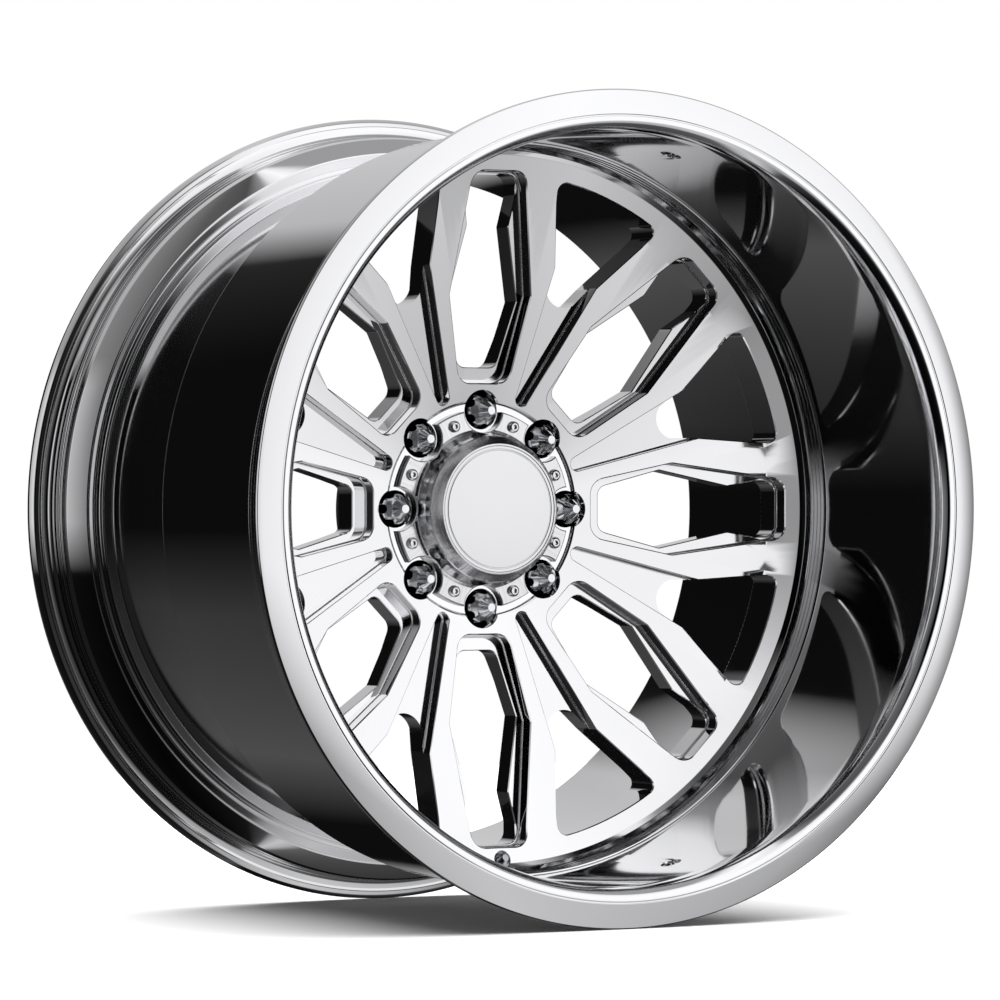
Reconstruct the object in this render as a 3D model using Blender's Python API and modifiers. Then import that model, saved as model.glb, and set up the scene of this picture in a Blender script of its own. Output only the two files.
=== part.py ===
"""Forged racing wheel rim: deep-lip barrel, spoked centre, bolt-on cap, lug nuts and tyre valve.

World frame: origin on the wheel axis, midway between the two rim edges. The wheel spins about Y,
the dish faces -Y and +Z is up. Everything is modelled in a wheel frame whose +Z points out of the
dish (world -Y) and whose +Y is world +Z, carried by the wheel_axis empty. Lengths are millimetres
times MM.
"""

import math

import bmesh
import bpy
from mathutils import Matrix, Vector

MM = 0.001

# Rim
FLANGE_R = 347.5
HALF_WIDTH = 216.5
EDGE_Z = 213.0
LIP_INNER_R = 325.8
BEAD_SEAT_R = 330.2
BEAD_FACE_Z = 203.2
LIP_WALL_OUTER_R = 321.6
LIP_WALL_INNER_R = 314.5
DROP_OUTER_R = 301.8
DROP_INNER_R = 294.8
SHOULDER_Z = -10.0
TURN_STEPS = 48
WITNESS_R = 8.0
WITNESS_DEPTH = 4.5
WITNESS_Z = 129.0
WITNESS_ANGLES = (72.8, -72.8)

# Spoked centre
GAP = 0.3
FACE_Z = -28.5
FACE_R = 108.1
FACE_SLOPE = 0.1545
RING_R = 276.4
RING_SLOPE = 0.28
RING_OUTER_R = 304.5
SKIRT_Z = 31.0
HUB_SEAT_R = 92.0
HUB_SEAT_Z = -33.3
PAD_Z = -101.0
PAD_R = 108.0
BORE_R = 62.55
CENTRE_REAR_Z = -37.0
POCKET_DEPTH = 14.0
CHANNEL_DEPTH = 12.0
SPOKE_PAIRS = 8
PITCH = 2 * math.pi / SPOKE_PAIRS

# Lug nuts
LUG_CIRCLE_R = 85.0
LUG_POCKET_R = 15.6
LUG_HOLE_R = 8.0
LUG_SEAT_Z = -82.0
NUT_R = 13.5
NUT_TIP_Z = -14.0

# Centre cap
CAP_FLANGE_R = 88.5
CAP_FLANGE_Z = (-33.0, -28.0)
CAP_NECK_R = 67.0
CAP_BEVEL_R = 63.5
CAP_BEVEL_Z = -9.5
CAP_FACE_R = 56.3
CAP_TOP_Z = 0.0
SCALLOP_R = 20.0
SCREW_CIRCLE_R = 76.8
SCREW_HEAD_R = 5.2
SCREW_SHANK_R = 2.9
SCREW_HOLE_R = 3.2

# Tyre valve, at the bottom of the wheel, its tip leaning towards the hub
VALVE_ANGLE = -math.pi / 2
VALVE_R = 301.3
VALVE_LEAN = math.radians(20)
VALVE_FRONT_SEAT = -9.5
VALVE_REAR_SEAT = -22.0
VALVE_POCKET_R = 8.0
VALVE_SHANK_R = 4.0
VALVE_HOLE_R = 4.3
VALVE_NUT_R = 6.6
VALVE_CAP_R = 7.3
VALVE_CAP_TOP = 6.0


def clear_scene():
    for obj in list(bpy.data.objects):
        bpy.data.objects.remove(obj, do_unlink=True)


def new_collection(name):
    found = bpy.data.collections.new(name)
    bpy.context.scene.collection.children.link(found)
    return found


def make_material(name, colour, roughness, metallic):
    material = bpy.data.materials.new(name)
    material.use_nodes = True
    shader = material.node_tree.nodes["Principled BSDF"]
    shader.inputs["Base Color"].default_value = (*colour, 1.0)
    shader.inputs["Roughness"].default_value = roughness
    shader.inputs["Metallic"].default_value = metallic
    material.diffuse_color = (*colour, 1.0)
    return material


def add_object(name, mesh, collection, material=None, parent=None, matrix=None):
    obj = bpy.data.objects.new(name, mesh)
    collection.objects.link(obj)
    obj.parent = parent
    if matrix is not None:
        obj.matrix_local = matrix
    if material is not None:
        mesh.materials.append(material)
    return obj


def finish_mesh(name, bm, smooth=True):
    mesh = bpy.data.meshes.new(name)
    bm.to_mesh(mesh)
    bm.free()
    if smooth:
        mesh.shade_smooth()
        mesh.set_sharp_from_angle(angle=math.radians(30))
    return mesh


def loop_mesh(name, points):
    """A closed profile in the XZ plane, in millimetres, for a Screw modifier."""
    bm = bmesh.new()
    verts = [bm.verts.new((r * MM, 0, z * MM)) for r, z in points]
    for first, second in zip(verts, verts[1:] + verts[:1]):
        bm.edges.new((first, second))
    return finish_mesh(name, bm, smooth=False)


def line_mesh(name, points):
    """An open profile in the XZ plane that starts and ends on the axis."""
    bm = bmesh.new()
    verts = [bm.verts.new((r * MM, 0, z * MM)) for r, z in points]
    for first, second in zip(verts, verts[1:]):
        bm.edges.new((first, second))
    return finish_mesh(name, bm, smooth=False)


def add_screw(obj, steps):
    screw = obj.modifiers.new("turn", "SCREW")
    screw.axis = "Z"
    screw.steps = steps
    screw.render_steps = steps
    screw.use_merge_vertices = True
    screw.merge_threshold = 0.00002
    screw.use_smooth_shade = True
    return screw


def add_cut(obj, cutter, operation="DIFFERENCE"):
    cut = obj.modifiers.new(cutter.name, "BOOLEAN")
    cut.operation = operation
    cut.solver = "EXACT"
    cut.object = cutter
    return cut


def rounded(corners, count=2):
    """A closed outline from (x, y, radius) corners, each rounded by an arc of count steps."""
    outline = []
    for i, (x, y, radius) in enumerate(corners):
        here = Vector((x, y))
        before = Vector(corners[i - 1][:2]) - here
        after = Vector(corners[(i + 1) % len(corners)][:2]) - here
        if radius <= 0:
            outline.append((x, y))
            continue
        before.normalize()
        after.normalize()
        half = before.angle(after) / 2
        centre = here + (before + after).normalized() * (radius / math.sin(half))
        reach = radius / math.tan(half)
        first = here + before * reach - centre
        sweep = (here + after * reach - centre).angle_signed(first)
        for step in range(count + 1):
            turned = first.copy()
            turned.rotate(Matrix.Rotation(sweep * step / count, 2))
            outline.append(tuple(centre + turned))
    return outline


def prism(bm, outline, bottom, top, matrix):
    """An upright prism on a flat outline, in millimetres, placed by matrix."""
    verts = [bm.verts.new((x * MM, y * MM, bottom * MM)) for x, y in outline]
    face = bm.faces.new(verts)
    face.normal_update()
    if face.normal.z > 0:
        face.normal_flip()
    raised = bmesh.ops.extrude_face_region(bm, geom=[face])["geom"]
    raised_verts = [item for item in raised if isinstance(item, bmesh.types.BMVert)]
    bmesh.ops.translate(bm, vec=(0, 0, (top - bottom) * MM), verts=raised_verts)
    bmesh.ops.transform(bm, matrix=matrix, verts=list(set(verts + raised_verts)))


def rod(bm, radius, bottom, top, matrix, sides=16, top_radius=None):
    """A capped cylinder or cone between two heights, in millimetres, placed by matrix."""
    centre = Matrix.Translation((0, 0, (bottom + top) / 2 * MM))
    bmesh.ops.create_cone(
        bm,
        cap_ends=True,
        segments=sides,
        radius1=radius * MM,
        radius2=(radius if top_radius is None else top_radius) * MM,
        depth=(top - bottom) * MM,
        matrix=matrix @ centre,
    )


def turn(angle):
    return Matrix.Rotation(angle, 4, "Z")


def shift(x, y, z):
    return Matrix.Translation((x * MM, y * MM, z * MM))


def face_height(radius):
    return FACE_Z + FACE_SLOPE * (radius - FACE_R)


def ring_height(radius):
    """Height of the outer ring, which rises more steeply than the spokes do."""
    return face_height(RING_R) + RING_SLOPE * (radius - RING_R)


def on_face(angle):
    """Wheel frame of a cut that follows the conical face: x along the face, z out of it."""
    tilt = Matrix.Rotation(-math.atan(FACE_SLOPE), 4, "Y")
    return turn(angle) @ shift(0, 0, face_height(0)) @ tilt


def along_face(radius):
    """Distance along the sloping face for a given radius."""
    return radius / math.cos(math.atan(FACE_SLOPE))


def make_cutter(name, build, collection, parent):
    bm = bmesh.new()
    build(bm)
    bmesh.ops.recalc_face_normals(bm, faces=bm.faces)
    cutter = add_object(name, finish_mesh(name, bm, smooth=False), collection, parent=parent)
    cutter.hide_render = True
    cutter.display_type = "WIRE"
    return cutter


def valve_frame():
    """Wheel frame of the valve: +Z points out of the wheel along the stem."""
    lean = Matrix.Rotation(-VALVE_LEAN, 4, "Y")
    return turn(VALVE_ANGLE) @ shift(VALVE_R, 0, ring_height(VALVE_R)) @ lean


# Outlines of the openings, (x along the spoke pair, y across it)


def window_pocket():
    half = ((108.5, 24.2, 13), (184.2, 40.2, 0), (292.2, 25.9, 13))
    return mirrored(half)


def window_hole():
    half = ((122.7, 18.8, 8), (179.9, 34.2, 0), (244.7, 20.2, 0), (271.0, 25.0, 0), (290.6, 23.4, 11))
    return mirrored(half)


def mirrored(half):
    """Closes a half outline, given on the +y side, across y = 0."""
    other = [(x, -y, radius) for x, y, radius in reversed(half)]
    return rounded(list(half) + other)


def channel_outline():
    tip = [(103.0 + 6.3 * math.cos(a), 6.3 * math.sin(a)) for a in angles_between(100, 260, 5)]
    return tip + [(217.0, -22.4), (217.0, 22.4)]


def angles_between(start, end, count):
    return [math.radians(start + (end - start) * i / count) for i in range(count + 1)]


def fork_outline():
    """The opening between two spoke pairs: a wide arc outside, a small hollow arc inside."""
    outer = [(290.2 * math.cos(a), 290.2 * math.sin(a)) for a in angles_between(-8.2, 8.2, 5)]
    outer = [(281.0, -52.6)] + outer + [(281.0, 52.6)]
    inner = [(209.5 - 18.5 * math.cos(a), 18.5 * math.sin(a)) for a in angles_between(56, -56, 5)]
    return outer + [(267.0, 46.8), (216.5, 22.0)] + inner + [(216.5, -22.0), (267.0, -46.8)]


def barrel_profile():
    front = [
        (LIP_INNER_R, HALF_WIDTH),
        (FLANGE_R - 1.0, EDGE_Z + 0.4),
        (FLANGE_R, EDGE_Z - 1.0),
        (FLANGE_R, EDGE_Z - 3.5),
        (FLANGE_R - 2.5, EDGE_Z - 8.0),
        (336.0, BEAD_FACE_Z),
        (BEAD_SEAT_R, BEAD_FACE_Z - 5.0),
        (328.6, 180.0),
        (329.6, 173.0),
        (327.5, 165.0),
        (LIP_WALL_OUTER_R, 150.0),
    ]
    well = [
        (LIP_WALL_OUTER_R, -5.6),
        (317.5, -13.5),
        (310.0, -17.4),
        (DROP_OUTER_R, -19.5),
        (DROP_OUTER_R, -164.4),
        (314.6, -163.6),
        (328.1, -175.7),
        (329.4, -179.5),
        (328.6, -186.0),
    ]
    rear = [
        (BEAD_SEAT_R, -BEAD_FACE_Z + 5.0),
        (336.0, -BEAD_FACE_Z),
        (FLANGE_R - 2.5, -EDGE_Z + 8.0),
        (FLANGE_R, -EDGE_Z + 3.5),
        (FLANGE_R, -EDGE_Z),
        (FLANGE_R - 3.0, -HALF_WIDTH),
        (333.0, -HALF_WIDTH + 1.0),
        (325.0, -EDGE_Z + 6.0),
        (322.5, -EDGE_Z + 16.0),
        (320.8, -182.0),
        (309.0, -171.4),
        (DROP_INNER_R + 4.0, -170.5),
        (DROP_INNER_R, -166.0),
    ]
    dish = [
        (DROP_INNER_R, SHOULDER_Z - GAP),
        (LIP_WALL_INNER_R, SHOULDER_Z - GAP),
        (LIP_WALL_INNER_R, 191.0),
        (313.0, 192.5),
        (313.0, 204.0),
        (314.5, 208.5),
        (318.0, 213.0),
    ]
    return front + well + rear + dish


def make_barrel(parts, cutters, axis, material):
    barrel = add_object("rim_barrel", loop_mesh("rim_barrel", barrel_profile()), parts, material, axis)
    add_screw(barrel, TURN_STEPS)

    def witness_marks(bm):
        for degrees in WITNESS_ANGLES:
            across = Matrix.Rotation(math.pi / 2, 4, "Y")
            place = turn(math.radians(degrees)) @ shift(0, 0, WITNESS_Z) @ across
            rod(bm, WITNESS_R, LIP_WALL_INNER_R - 8, LIP_WALL_INNER_R + WITNESS_DEPTH, place)

    add_cut(barrel, make_cutter("cut_lip_dimples", witness_marks, cutters, axis))
    return barrel


def centre_profile():
    return [
        (HUB_SEAT_R, HUB_SEAT_Z),
        (96.0, face_height(96.0) - 0.4),
        (FACE_R, FACE_Z),
        (RING_R, face_height(RING_R)),
        (RING_OUTER_R, ring_height(RING_OUTER_R)),
        (308.5, 9.0),
        (311.0, 12.5),
        (LIP_WALL_INNER_R - 1.5, SKIRT_Z),
        (LIP_WALL_INNER_R - GAP, SKIRT_Z),
        (LIP_WALL_INNER_R - GAP, SHOULDER_Z),
        (DROP_INNER_R - GAP, SHOULDER_Z),
        (DROP_INNER_R - GAP, CENTRE_REAR_Z),
        (281.0, CENTRE_REAR_Z),
        (150.0, -57.0),
        (122.0, -66.0),
        (PAD_R, -92.0),
        (PAD_R - 2.0, PAD_Z),
        (BORE_R + 1.5, PAD_Z),
        (BORE_R, PAD_Z + 1.5),
        (BORE_R, -37.0),
        (66.2, HUB_SEAT_Z),
    ]


def make_centre(parts, cutters, axis, material):
    centre = add_object("forged_centre", loop_mesh("forged_centre", centre_profile()), parts, material, axis)
    add_screw(centre, TURN_STEPS)

    def every(build, offset=0.0):
        def build_all(bm):
            for index in range(SPOKE_PAIRS):
                build(bm, offset + index * PITCH)
        return build_all

    def window_pockets(bm, angle):
        outline = [(along_face(x), y) for x, y in window_pocket()]
        prism(bm, outline, -POCKET_DEPTH, 60, on_face(angle))

    def window_holes(bm, angle):
        prism(bm, window_hole(), -150, 60, turn(angle))

    def channels(bm, angle):
        outline = [(along_face(x), y) for x, y in channel_outline()]
        prism(bm, outline, -CHANNEL_DEPTH, 60, on_face(angle))

    def forks(bm, angle):
        prism(bm, fork_outline(), -150, 60, turn(angle))

    def lug_pockets(bm, angle):
        place = turn(angle) @ shift(LUG_CIRCLE_R, 0, 0)
        rod(bm, LUG_POCKET_R, LUG_SEAT_Z + 5.5, 60, place, sides=16)

    def lug_seats(bm, angle):
        place = turn(angle) @ shift(LUG_CIRCLE_R, 0, 0)
        rod(bm, LUG_HOLE_R + 0.5, LUG_SEAT_Z - 3.0, LUG_SEAT_Z + 7.0, place, top_radius=14.8)

    def lug_holes(bm, angle):
        place = turn(angle) @ shift(LUG_CIRCLE_R, 0, 0)
        rod(bm, LUG_HOLE_R, PAD_Z - 20, 60, place, sides=12)

    def screw_holes(bm, angle):
        place = turn(angle) @ shift(SCREW_CIRCLE_R, 0, 0)
        rod(bm, SCREW_HOLE_R, -52, 0, place, sides=8)

    half = PITCH / 2
    cuts = (
        ("cut_window_holes", every(window_holes)),
        ("cut_window_pockets", every(window_pockets)),
        ("cut_forks", every(forks, half)),
        ("cut_channels", every(channels, half)),
        ("cut_lug_pockets", every(lug_pockets)),
        ("cut_lug_seats", every(lug_seats)),
        ("cut_lug_holes", every(lug_holes)),
        ("cut_screw_holes", every(screw_holes, half)),
    )
    for name, build in cuts:
        add_cut(centre, make_cutter(name, build, cutters, axis))
    return centre


def cut_valve_seats(pieces, cutters, axis):
    def valve_hole(bm):
        rod(bm, VALVE_HOLE_R, -40, 30, valve_frame())

    def front_seat(bm):
        rod(bm, VALVE_POCKET_R, VALVE_FRONT_SEAT, 30, valve_frame())

    def rear_seat(bm):
        rod(bm, 7.6, -45, VALVE_REAR_SEAT, valve_frame())

    hole = make_cutter("cut_valve_hole", valve_hole, cutters, axis)
    front = make_cutter("cut_valve_front_seat", front_seat, cutters, axis)
    rear = make_cutter("cut_valve_rear_seat", rear_seat, cutters, axis)
    barrel, centre = pieces
    add_cut(barrel, hole)
    add_cut(barrel, rear)
    add_cut(centre, hole)
    add_cut(centre, front)


def make_ring(name, points, steps, parts, axis, material):
    ring = add_object(name, loop_mesh(name, points), parts, material, axis)
    add_screw(ring, steps)
    return ring


def make_weld(parts, axis, material):
    outer = DROP_INNER_R - GAP
    top = CENTRE_REAR_Z - GAP
    points = [(outer, top), (outer, top - 5.0), (outer - 1.8, top - 3.4), (outer - 3.0, top)]
    return make_ring("rear_weld_bead", points, TURN_STEPS, parts, axis, material)


def make_cap(parts, cutters, axis, materials):
    low, high = CAP_FLANGE_Z
    body_points = [
        (CAP_FACE_R, CAP_TOP_Z),
        (CAP_BEVEL_R, CAP_BEVEL_Z),
        (CAP_BEVEL_R + 0.6, CAP_BEVEL_Z - 1.5),
        (CAP_NECK_R, high + 2.0),
        (CAP_NECK_R + 1.5, high),
        (CAP_FLANGE_R - 1.0, high),
        (CAP_FLANGE_R, high - 1.0),
        (CAP_FLANGE_R, low),
        (62.2, low),
        (62.2, -41.0),
        (59.0, -41.0),
        (59.0, -8.5),
        (53.0, -6.5),
        (0.0, -6.5),
        (0.0, -3.4),
        (CAP_FACE_R - 1.6, -3.4),
        (CAP_FACE_R - 1.6, CAP_TOP_Z),
    ]
    bm = bmesh.new()
    verts = [bm.verts.new((r * MM, 0, z * MM)) for r, z in body_points]
    closing = zip(verts, verts[1:] + verts[:1])
    for first, second in closing:
        if first.co.x > 0 or second.co.x > 0:
            bm.edges.new((first, second))
    body = add_object(
        "centre_cap_body", finish_mesh("centre_cap_body", bm, smooth=False), parts, materials["cap"], axis
    )
    add_screw(body, TURN_STEPS)

    def scallops(bm):
        for index in range(SPOKE_PAIRS):
            place = turn(index * PITCH) @ shift(LUG_CIRCLE_R, 0, 0)
            rod(bm, SCALLOP_R, low - 4, -10, place, sides=20)

    def screw_holes(bm):
        for index in range(SPOKE_PAIRS):
            place = turn((index + 0.5) * PITCH) @ shift(SCREW_CIRCLE_R, 0, 0)
            rod(bm, SCREW_HOLE_R, low - 4, high + 8, place, sides=8)

    add_cut(body, make_cutter("cut_cap_scallops", scallops, cutters, axis))
    add_cut(body, make_cutter("cut_cap_screw_holes", screw_holes, cutters, axis))

    disc_r = CAP_FACE_R - 1.6 - 0.1
    disc_points = [
        (0.0, CAP_TOP_Z - 0.4),
        (disc_r - 3.6, CAP_TOP_Z - 0.4),
        (disc_r - 3.0, CAP_TOP_Z - 1.0),
        (disc_r - 2.4, CAP_TOP_Z - 0.4),
        (disc_r - 0.4, CAP_TOP_Z - 0.4),
        (disc_r, CAP_TOP_Z - 0.8),
        (disc_r, -3.1),
        (0.0, -3.1),
    ]
    disc = add_object(
        "centre_cap_face", line_mesh("centre_cap_face", disc_points), parts, materials["cap_face"], axis
    )
    add_screw(disc, TURN_STEPS)

    seal = [(63.6 + 0.85 * math.cos(a), -34.4 + 0.85 * math.sin(a)) for a in angles_between(0, -288, 4)]
    make_ring("cap_seal_ring", seal, 32, parts, axis, materials["rubber"])


def make_screws(parts, axis, material):
    """Button-head screws that hold the cap flange to the hub."""
    seat = CAP_FLANGE_Z[1] + GAP
    head_points = [
        (0.0, seat + 3.2), (3.4, seat + 3.2), (SCREW_HEAD_R, seat + 1.2), (SCREW_HEAD_R, seat),
        (SCREW_SHANK_R, seat), (SCREW_SHANK_R, seat - 18.0), (0.0, seat - 18.0),
    ]
    mesh = line_mesh("cap_screw", head_points)
    mesh.materials.append(material)
    for index in range(SPOKE_PAIRS):
        place = turn((index + 0.5) * PITCH) @ shift(SCREW_CIRCLE_R, 0, 0)
        screw = add_object(f"cap_screw_{index + 1}", mesh, parts, parent=axis, matrix=place)
        add_screw(screw, 10)


def make_nuts(parts, cutters, axis, material):
    """Closed conical-seat lug nuts with six drive flutes and a pointed nose."""
    seat = LUG_SEAT_Z + GAP * 2
    points = [
        (0.0, NUT_TIP_Z), (3.6, NUT_TIP_Z - 1.6), (8.6, NUT_TIP_Z - 7.0),
        (NUT_R, NUT_TIP_Z - 15.5), (NUT_R, seat + 6.6), (LUG_HOLE_R + 0.4, seat - 2.6),
        (6.4, seat - 2.6), (6.4, seat + 30.0), (0.0, seat + 33.0),
    ]
    mesh = line_mesh("lug_nut", points)
    mesh.materials.append(material)
    for index in range(SPOKE_PAIRS):
        place = turn(index * PITCH) @ shift(LUG_CIRCLE_R, 0, 0)

        def flutes(bm):
            for flute in range(6):
                groove = place @ turn(flute * math.pi / 3) @ shift(NUT_R + 4.2, 0, 0)
                rod(bm, 6.2, seat + 12, 30, groove, sides=8)

        nut = add_object(f"lug_nut_{index + 1}", mesh, parts, parent=axis, matrix=place)
        add_screw(nut, 12)
        add_cut(nut, make_cutter(f"cut_nut_flutes_{index + 1}", flutes, cutters, axis))


def make_valve(parts, cutters, axis, materials):
    """Clamp-in tyre valve: stem, rear seal, round nut, cap, core and its sprung pin."""
    place = valve_frame()
    rear = VALVE_REAR_SEAT
    front = VALVE_FRONT_SEAT
    top = VALVE_CAP_TOP
    bore = 2.55

    def turned(name, points, steps, material, closed=True):
        maker = loop_mesh if closed else line_mesh
        piece = add_object(name, maker(name, points), parts, material, axis, place)
        add_screw(piece, steps)

    turned("valve_stem", [
        (3.6, top - 2.4), (VALVE_SHANK_R, top - 3.0), (VALVE_SHANK_R, rear - 1.8),
        (7.0, rear - 1.8), (7.0, rear - 4.0), (bore, rear - 4.0), (bore, top - 2.4),
    ], 16, materials["valve"])
    turned("valve_seal", [
        (7.0, rear - GAP), (7.0, rear - 1.5), (VALVE_SHANK_R + GAP, rear - 1.5),
        (VALVE_SHANK_R + GAP, rear - GAP),
    ], 16, materials["rubber"])
    turned("valve_nut", [
        (VALVE_NUT_R - 0.5, front + 4.6), (VALVE_NUT_R, front + 4.0), (VALVE_NUT_R, front + GAP),
        (VALVE_SHANK_R + GAP, front + GAP), (VALVE_SHANK_R + GAP, front + 4.6),
    ], 16, materials["valve"])
    turned("valve_cap", [
        (0.0, top), (3.2, top), (VALVE_CAP_R, top - 4.0), (VALVE_CAP_R, front + 5.0),
        (VALVE_SHANK_R + 0.1, front + 5.0), (VALVE_SHANK_R + 0.1, top - 1.8), (0.0, top - 1.8),
    ], 16, materials["valve_cap"], closed=False)
    turned("valve_core", [
        (bore - 0.1, top - 4.6), (bore - 0.1, top - 13.0), (1.6, top - 16.0), (0.9, top - 16.0),
        (0.9, top - 4.6),
    ], 12, materials["valve"])
    turned("valve_core_pin", [
        (0.0, top - 3.2), (0.8, top - 3.2), (0.8, top - 16.3), (1.5, top - 16.7),
        (1.5, top - 17.9), (0.0, top - 17.9),
    ], 10, materials["valve"], closed=False)


def main():
    clear_scene()
    parts = new_collection("forged_wheel_rim")
    cutters = new_collection("cutters")
    materials = {
        "polished": make_material("polished_forging", (0.90, 0.90, 0.91), 0.06, 1.0),
        "weld": make_material("weld_metal", (0.72, 0.73, 0.75), 0.34, 1.0),
        "cap": make_material("machined_cap", (0.88, 0.88, 0.89), 0.16, 1.0),
        "cap_face": make_material("cap_face_plate", (0.86, 0.86, 0.87), 0.22, 1.0),
        "screw": make_material("screw_steel", (0.80, 0.80, 0.82), 0.18, 1.0),
        "nut": make_material("chromed_nut", (0.70, 0.71, 0.73), 0.07, 1.0),
        "valve": make_material("valve_metal", (0.62, 0.63, 0.65), 0.20, 1.0),
        "valve_cap": make_material("valve_cap_metal", (0.40, 0.41, 0.43), 0.25, 1.0),
        "rubber": make_material("seal_rubber", (0.03, 0.03, 0.03), 0.65, 0.0),
    }
    axis = bpy.data.objects.new("wheel_axis", None)
    axis.rotation_euler = (math.pi / 2, 0, 0)
    parts.objects.link(axis)

    barrel = make_barrel(parts, cutters, axis, materials["polished"])
    centre = make_centre(parts, cutters, axis, materials["polished"])
    cut_valve_seats((barrel, centre), cutters, axis)
    make_weld(parts, axis, materials["weld"])
    make_cap(parts, cutters, axis, materials)
    make_screws(parts, axis, materials["screw"])
    make_nuts(parts, cutters, axis, materials["nut"])
    make_valve(parts, cutters, axis, materials)


main()
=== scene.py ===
"""Finished look of the forged racing wheel rim: turned and machined shapes, polished metals, studio.

Shapes are built in the wheel's own frame, in millimetres: +Z points out of the dish (row -Y), +Y is
row +Z, and the origin is the row's origin. piece() turns a finished mesh into the row frame.
"""

import math

import bmesh
import bpy
from mathutils import Matrix, Vector


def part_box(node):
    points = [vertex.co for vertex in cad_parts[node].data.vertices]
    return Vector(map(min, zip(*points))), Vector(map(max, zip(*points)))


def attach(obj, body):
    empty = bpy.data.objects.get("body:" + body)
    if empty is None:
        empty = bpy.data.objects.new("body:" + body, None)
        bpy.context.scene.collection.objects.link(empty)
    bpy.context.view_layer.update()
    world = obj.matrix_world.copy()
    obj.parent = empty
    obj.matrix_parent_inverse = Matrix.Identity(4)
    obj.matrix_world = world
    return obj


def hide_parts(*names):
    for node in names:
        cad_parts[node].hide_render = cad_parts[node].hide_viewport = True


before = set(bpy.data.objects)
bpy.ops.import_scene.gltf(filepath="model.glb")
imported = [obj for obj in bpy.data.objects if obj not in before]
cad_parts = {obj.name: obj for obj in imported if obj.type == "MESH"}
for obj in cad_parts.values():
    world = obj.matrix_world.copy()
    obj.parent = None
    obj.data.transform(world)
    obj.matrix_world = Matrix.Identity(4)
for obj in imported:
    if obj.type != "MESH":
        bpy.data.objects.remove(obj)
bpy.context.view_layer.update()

MM = 0.001
GAP = 0.3
SEGMENTS = 256
SHARP_DEGREES = 28
LONGEST_STEP = 8.0
SAME_ANGLE = 0.004
WHEEL = Matrix.Rotation(math.pi / 2, 4, "X") @ Matrix.Scale(MM, 4)
WHEEL_BODY = "wheel"

# Driving sizes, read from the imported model
FLANGE_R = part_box("rim_barrel")[1][2] / MM
HALF_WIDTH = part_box("rim_barrel")[1][1] / MM
CAP_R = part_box("centre_cap_body")[1][2] / MM
PAD_Z = -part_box("forged_centre")[1][1] / MM
NUT_TIP_Z = -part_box("lug_nut_1")[0][1] / MM

# Rim
EDGE_Z = 213.0
BEAD_FACE_Z = 203.2
LIP_WALL_OUTER_R = 321.6
LIP_WALL_R = 314.4
DROP_OUTER_R = 301.8
DROP_INNER_R = 294.8
SHOULDER_Z = -10.0
DIMPLE_R = 8.0
DIMPLE_Z = 129.0
DIMPLE_ANGLES = (72.8, -72.8)

# Spoked centre
FACE_Z = -28.5
SPOKE_SLOPE = 0.1545
RING_R = 276.4
RING_SLOPE = 0.28
RING_OUTER_R = 304.5
SKIRT_R = 311.0
SKIRT_Z = (12.5, 31.0)
SKIRT_STRIPES = 4
HUB_R = 108.1
HUB_SEAT_R = 92.0
HUB_SEAT_Z = -33.3
BORE_R = 62.55
STRIPE_STEP = 0.55
POCKET_DEPTH = 14.0
POCKET_FILLET = 1.2
CHANNEL_DEPTH = 12.5
CHANNEL_FILLET = 1.4
WINDOW_MIDDLE_X = 200.0
BACK_CHAMFER = 1.2
CLEARANCE = 3.0
WELD_TOP_Z = -37.3
WELD_PUDDLES = 460
SPOKE_PAIRS = 8
PITCH = 2 * math.pi / SPOKE_PAIRS

# Hub hardware
LUG_CIRCLE_R = 85.0
LUG_POCKET_R = 15.6
LUG_HOLE_R = 8.0
NUT_R = 13.5
NUT_SEAT_Z = -81.4
NUT_BORE_R = 6.4
CAP_TOP_Z = 0.0
CAP_FLANGE_Z = -28.0
CAP_FLANGE_BACK_Z = -33.0
CAP_FACE_R = 56.3
CAP_WALL_R = 59.0
CAP_RIM_R = 62.2
CAP_FLOOR_Z = (-6.6, -3.4)
PLATE_BACK_Z = -3.1
NOTCH_R = 19.0
SCREW_CIRCLE_R = 76.8
SCREW_HOLE_R = 3.2
SCREW_SHANK_R = 2.95
SCREW_LENGTH = 18.0

# Tyre valve, at six o'clock, leaning towards the axis as it comes out of the ring
VALVE_R = 301.3
VALVE_LEAN = math.radians(20)
VALVE_TOP = 6.0
VALVE_FRONT = -9.5
VALVE_REAR = -22.0
VALVE_NUT_R = 6.6
VALVE_CAP_R = 7.3
VALVE_POCKET_R = 8.0
VALVE_HOLE_R = 4.3
VALVE_SHANK_R = 4.0
VALVE_BORE_R = 2.55
VALVE_HEAD_R = 7.0

# Colours of the metals, and how their grain is stretched
FORGING = (0.90, 0.90, 0.91)
MACHINED = (0.86, 0.86, 0.87)
STEEL = (0.82, 0.82, 0.83)
CHROME = (0.80, 0.81, 0.83)
NICKEL = (0.66, 0.66, 0.67)
DARK_CAP = (0.45, 0.46, 0.48)
WELD_METAL = (0.66, 0.67, 0.69)
BLACK_RUBBER = (0.025, 0.025, 0.026)
ACROSS = (1.0, 1.0, 6.0)
EVEN = (1.0, 1.0, 1.0)

# Studio
FLOOR_REACH = 2.4
OVERHEAD_POWER = 520.0
OVERHEAD_SIZE = 7.0
DISPLAY_GAMMA = 2.2
METAL_REFLECTANCE = 0.9
LENS = 199.45
SENSOR_WIDTH = 36.0
CAMERA_PLACE = (-2.3893, -4.1236, 0.0)
CAMERA_TURN = math.radians(-30.09)
CAMERA_SHIFT = 0.009

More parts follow.
